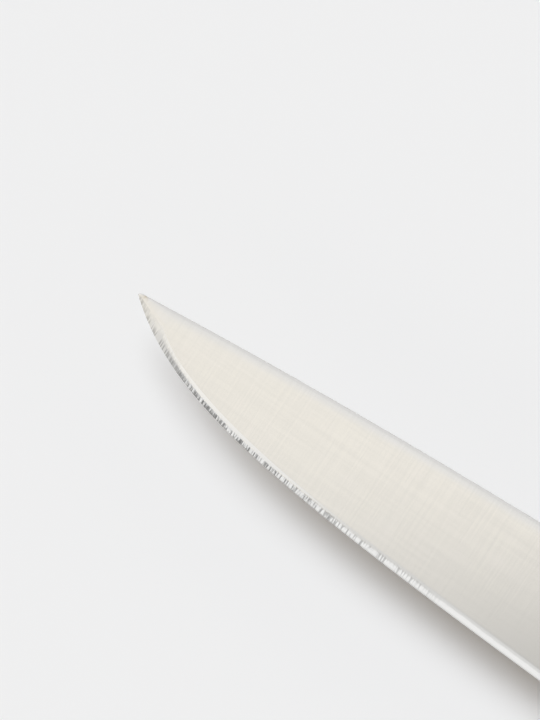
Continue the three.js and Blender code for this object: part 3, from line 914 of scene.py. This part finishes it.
def sleeveProfile(sizes):
    bore, mouth = sizes["postRadius"] + sizes["fit"], sizes["sleeveEndGap"] - headSeat
    ease = sizes["sleeveEase"]
    return [
        (0, headSeat - sizes["sleeveCap"]),
        (bore, headSeat - sizes["sleeveCap"]),
        (bore, mouth + ease),
        (bore + ease, mouth),
        (sizes["sleeveRadius"] - ease, mouth),
        (sizes["sleeveRadius"], mouth + ease),
        (sizes["sleeveRadius"], headSeat),
        *rivetHead(sizes, 1),
    ]


def postProfile(sizes):
    end = headSeat - sizes["sleeveCap"] - sizes["postEndGap"]
    ease = sizes["postEase"]
    return [
        (0, end),
        (sizes["postRadius"] - ease, end),
        (sizes["postRadius"], end - ease),
        (sizes["postRadius"], -headSeat),
        *rivetHead(sizes, -1),
    ]


def makeRivets(sizes):
    for name, spot in zip(sizes["names"], rivetSpots):
        for half, profile in (("sleeve", sleeveProfile(sizes)), ("post", postProfile(sizes))):
            piece = turned(profile, spot, sizes["turns"])
            node = name + "_" + half
            words = node.split("_")
            pieceName = words[0] + "".join(word.title() for word in words[1:])
            finishPiece(piece, pieceName, node, [rivetBrass])
    print("rivets,", 2 * len(rivetSpots), "halves")


brassFinish = {
    "bright": (0.76, 0.575, 0.275, 1), "dull": (0.62, 0.445, 0.20, 1),
    "tarnish": (0.40, 0.29, 0.16, 1),
    "sanding": (110, 5200, 110), "sandRange": (0.35, 0.65),  # per metre
    "cloud": (420, 420, 420), "cloudRange": (0.52, 0.78), "tarnished": 0.7,
    "roughRange": (0.3, 0.7), "rough": (0.38, 0.24), "bump": (0.6, 0.008),
}


def makeRivetBrass(look):
    material, tree, shader = newMaterial("rivetBrass", Metallic=1.0)
    coords = addNode(tree, "TexCoord").outputs["Object"]
    sanded = streaks(tree, coords, look["sanding"], detail=4)
    bright = remap(tree, sanded, *look["sandRange"], 0, 1)
    colour = blendColour(tree, bright, look["dull"], look["bright"])
    cloud = streaks(tree, coords, look["cloud"], detail=3)
    stain = remap(tree, cloud, *look["cloudRange"], 0, look["tarnished"], smooth=True)
    colour = blendColour(tree, stain, colour, look["tarnish"])
    roughness = remap(tree, sanded, *look["roughRange"], *look["rough"])
    dress(tree, shader, colour, roughness, sanded, look["bump"])
    return material


# scales

scaleForm = {
    "sideWall": 1.8, "roundWidth": 4.4, "roundSteps": 12,
    "frontRound": 2.4, "frontSteps": 8,
    "ease": 0.12, "easeSteps": 2, "easeAngle": 50, "inset": 0.3, "weld": 0.001,
    "outlineSpacing": 0.7, "cutMargin": 3, "slabTop": 6, "slabFoot": -45,
}


def prism(points, depth, axis):
    # a flat shape, given as xyz points, pulled out along an axis
    deselectAll()
    bpy.ops.mesh.primitive_circle_add(vertices=len(points), radius=0.05, fill_type="NGON")
    obj = bpy.context.object
    placePoints(obj, points)
    editMesh(obj)
    bpy.ops.mesh.select_all(action="SELECT")
    bpy.ops.mesh.extrude_region_move(
        TRANSFORM_OT_translate={"value": tuple(depth * mm * part for part in axis)}
    )
    bpy.ops.mesh.select_all(action="SELECT")
    bpy.ops.mesh.normals_make_consistent(inside=False)
    bpy.ops.object.mode_set(mode="OBJECT")
    return obj


def scaleOutline(form):
    # runs on past the front, which is cut afterwards
    uncut = frontX - 2 * form["roundWidth"] - form["cutMargin"]
    under = np.concatenate([[(uncut, -frontDepth)], handleUnderside(handleOutline)])
    over = np.concatenate([[(uncut, 0)], handleTop(handleOutline)])[::-1]
    return np.concatenate([
        evenly(under, form["outlineSpacing"])[:-1], evenly(over, form["outlineSpacing"]),
    ])


def frontSlab(form):
    # everything behind the scale's rounded front, leaning back towards the edge side
    radius, top = form["frontRound"], scaleFace + form["cutMargin"]
    back, below = buttX + form["cutMargin"], tangFace - form["cutMargin"]
    turnAngle = np.linspace(math.pi / 2, math.pi, form["frontSteps"] + 1)
    arc = [
        (frontX + radius + radius * math.cos(angle), scaleFace - radius + radius * math.sin(angle))
        for angle in turnAngle
    ]
    profile = [(frontX, below), (back, below), (back, top), (frontX + radius, top), *arc]
    highY, lowY = form["slabTop"], form["slabFoot"]
    slab = prism([(x, highY, z) for x, z in profile], highY - lowY, (0, -1, 0))
    lean = handleOutline["frontSlant"] / frontDepth
    for vertex in slab.data.vertices:
        vertex.co.x -= lean * vertex.co.y
    return slab


def rivetSeat(spot):
    sizes = rivetSizes
    bore, wide = sizes["sleeveRadius"] + sizes["fit"], sizes["headRadius"] + sizes["fit"]
    low, high = tangFace - scaleForm["cutMargin"], scaleFace + scaleForm["cutMargin"]
    profile = [(0, low), (bore, low), (bore, headSeat), (wide, headSeat), (wide, high), (0, high)]
    return turned(profile, spot, sizes["turns"])


def makeScales(form):
    rise = form["sideWall"] + form["roundWidth"]
    outline = scaleOutline(form)
    scale = prism([(x, y, tangFace) for x, y in outline], rise, (0, 0, 1))
    top = (tangFace + rise) * mm - 1e-6
    verts = scale.data.vertices
    selectWhere(scale, "EDGE", lambda edge: all(verts[end].co.z > top for end in edge.vertices))
    bpy.ops.mesh.bevel(
        offset=form["roundWidth"] * mm, offset_type="OFFSET", segments=form["roundSteps"],
        profile=0.5, affect="EDGES", clamp_overlap=False,
    )
    # a border inside the flat outer face
    selectWhere(scale, "FACE", lambda face: face.normal.z > 0.999 and len(face.vertices) > 8)
    bpy.ops.mesh.inset(thickness=form["inset"] * mm, depth=0)
    bpy.ops.object.mode_set(mode="OBJECT")
    cut(scale, frontSlab(form), "INTERSECT")
    for spot in rivetSpots:
        cut(scale, rivetSeat(spot))
    tidyMesh(scale, form["weld"] * mm)
    useModifier(
        scale, "BEVEL", width=form["ease"] * mm, segments=form["easeSteps"], limit_method="ANGLE",
        angle_limit=math.radians(form["easeAngle"]), use_clamp_overlap=True,
    )
    pick(scale)
    bpy.ops.object.duplicate()
    other = bpy.context.object
    editMesh(other)
    bpy.ops.mesh.select_all(action="SELECT")
    bpy.ops.transform.resize(value=(1, 1, -1), center_override=(0, 0, 0))
    bpy.ops.mesh.normals_make_consistent(inside=False)
    bpy.ops.object.mode_set(mode="OBJECT")
    finishPiece(scale, "leftScale", "left_scale", [oiledBoxwood])
    finishPiece(other, "rightScale", "right_scale", [oiledBoxwood])
    print("scales,", len(scale.data.polygons), "faces each")


woodFinish = {
    "pale": (0.66, 0.455, 0.245, 1), "late": (0.52, 0.335, 0.165, 1),
    "fleck": (0.36, 0.215, 0.10, 1),
    "ringStretch": (14, 100, 100), "heart": (0.0, 0.62, -0.5),  # across the grain 1 is a centimetre
    "ringScale": 1.9, "ringWaver": 2.6, "waverDetail": 2.0, "waverScale": 0.9, "waverRough": 0.55,
    "fibre": (45, 2100, 2100), "flecks": (230, 3600, 3600),  # per metre
    "ringShare": 0.55, "fibreShare": 0.6, "figureRange": (0.2, 0.95),
    "fleckRange": (0.64, 0.74), "flecked": 0.55,
    "roughRange": (0.2, 0.9), "rough": (0.40, 0.52), "reliefShare": 0.5, "bump": (0.5, 0.03),
}


def makeOiledBoxwood(look):
    material, tree, shader = newMaterial("oiledBoxwood")
    coords = addNode(tree, "TexCoord").outputs["Object"]
    bent = addNode(
        tree, "Mapping", {"Vector": coords, "Scale": look["ringStretch"], "Location": look["heart"]},
    ).outputs[0]
    ringInputs = {
        "Vector": bent, "Scale": look["ringScale"], "Distortion": look["ringWaver"],
        "Detail": look["waverDetail"], "Detail Scale": look["waverScale"],
        "Detail Roughness": look["waverRough"],
    }
    rings = addNode(
        tree, "TexWave", ringInputs, wave_type="RINGS", rings_direction="X", wave_profile="SAW",
    ).outputs["Fac"]
    fibre = streaks(tree, coords, look["fibre"], detail=4)
    fleck = streaks(tree, coords, look["flecks"], detail=2)
    figure = mathNode(tree, "MULTIPLY", rings, look["ringShare"])
    fibreFigure = mathNode(tree, "MULTIPLY", fibre, look["fibreShare"])
    figure = mathNode(tree, "ADD", figure, fibreFigure)
    late = remap(tree, figure, *look["figureRange"], 0, 1)
    colour = blendColour(tree, late, look["pale"], look["late"])
    dots = remap(tree, fleck, *look["fleckRange"], 0, look["flecked"], smooth=True)
    colour = blendColour(tree, dots, colour, look["fleck"])
    roughness = remap(tree, figure, *look["roughRange"], *look["rough"])
    relief = mathNode(tree, "MULTIPLY", fibre, look["reliefShare"])
    relief = mathNode(tree, "SUBTRACT", relief, dots)
    dress(tree, shader, colour, roughness, relief, look["bump"])
    return material


tipPoint = knifeOrigin + Vector((-bladeOutline["length"], -bladeOutline["spineDrop"], 0)) * mm
makeCamera(photoView, tipPoint)
makeFloor(studio)
makeLamps(studio)
makeRoom(studio)
bpy.context.scene.view_settings.view_transform = "Standard"
print("camera, floor and light")

satinSteel = makeSatinSteel(steelFinish)
groundEdge = makeGroundEdge(edgeFinish)
spineSteel = makeSpineSteel(steelFinish)
rivetBrass = makeRivetBrass(brassFinish)
oiledBoxwood = makeOiledBoxwood(woodFinish)
makeBlade(bladeGrind)
makeScales(scaleForm)
makeRivets(rivetSizes)
